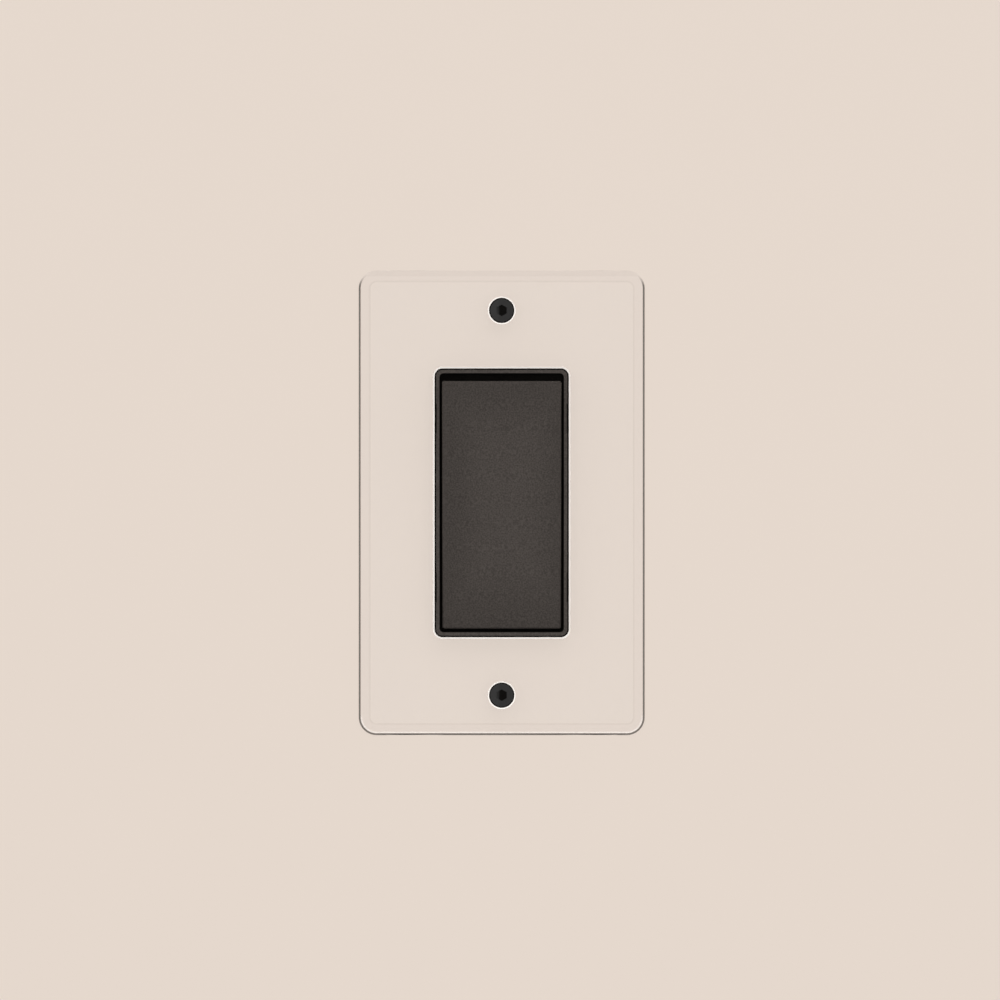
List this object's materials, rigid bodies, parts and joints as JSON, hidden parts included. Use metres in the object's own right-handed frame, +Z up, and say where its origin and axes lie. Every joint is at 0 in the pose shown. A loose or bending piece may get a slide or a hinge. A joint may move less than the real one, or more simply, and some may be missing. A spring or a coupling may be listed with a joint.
{
  "type": "retractive rocker switch",
  "caption": "Single-gang spring-return rocker switch with a clear wall plate, a dark paddle in a matching frame, a steel yoke and a moulded housing with its contacts.",
  "frame": {"origin": "midway between the two box screws, on the rear face of the yoke", "axes": "+Z up along the plate's long side, -Y out of the wall towards the user, +X to the user's right"},
  "size_m": [0.072, 0.0361, 0.117],
  "materials": {
    "acrylic": "clear polished acrylic",
    "bronze_plastic": "dark bronze-grey, fine matt grain",
    "black_plastic": "black moulding, satin",
    "natural_plastic": "natural acetal",
    "black_steel": "black oxide, satin",
    "zinc_steel": "zinc plated",
    "bright_steel": "ground pin",
    "spring_steel": "drawn wire",
    "brass": "stamped strip",
    "silver": "silver alloy",
    "green_steel": "green passivated",
    "fibre": "vulcanised fibre"
  },
  "bodies": {
    "base": {"front_plate": "acrylic", "plate_screw_upper": "black_steel", "plate_screw_lower": "black_steel", "bezel": "bronze_plastic", "rocker_axle": "bright_steel", "yoke": "zinc_steel", "housing": "black_plastic", "body_screw_upper_left": "zinc_steel", "body_screw_upper_right": "zinc_steel", "body_screw_lower_left": "zinc_steel", "body_screw_lower_right": "zinc_steel", "return_spring": "spring_steel", "terminal_left": "brass", "terminal_right": "brass", "fixed_contact_left": "silver", "fixed_contact_right": "silver", "terminal_screw_left": "zinc_steel", "terminal_screw_right": "zinc_steel", "terminal_clamp_left": "zinc_steel", "terminal_clamp_right": "zinc_steel", "ground_screw": "green_steel", "box_screw_upper": "zinc_steel", "box_screw_lower": "zinc_steel", "retaining_washer_upper": "fibre", "retaining_washer_lower": "fibre"},
    "rocker_body": {"rocker": "bronze_plastic"},
    "slider_body": {"push_slider": "natural_plastic", "contact_bridge": "brass", "moving_contact_left": "silver", "moving_contact_right": "silver"}
  },
  "joints": [
    {"name": "rocker_tilt", "type": "hinge", "parent": "base", "child": "rocker_body", "pos_m": [0, -0.0004, 0], "axis": [-1, 0, 0], "range_deg": [0, 7.2], "stiffness_Nm_per_rad": 0.43, "springref_deg": -5.61},
    {"name": "slider_travel", "type": "slide", "parent": "base", "child": "slider_body", "axis": [0, 1, 0], "range_m": [0, 0.00214], "deforming": ["return_spring"]}
  ],
  "couplings": [
    {"joint": "slider_travel", "follows": "rocker_tilt", "m_per_rad": 0.016989}
  ]
}
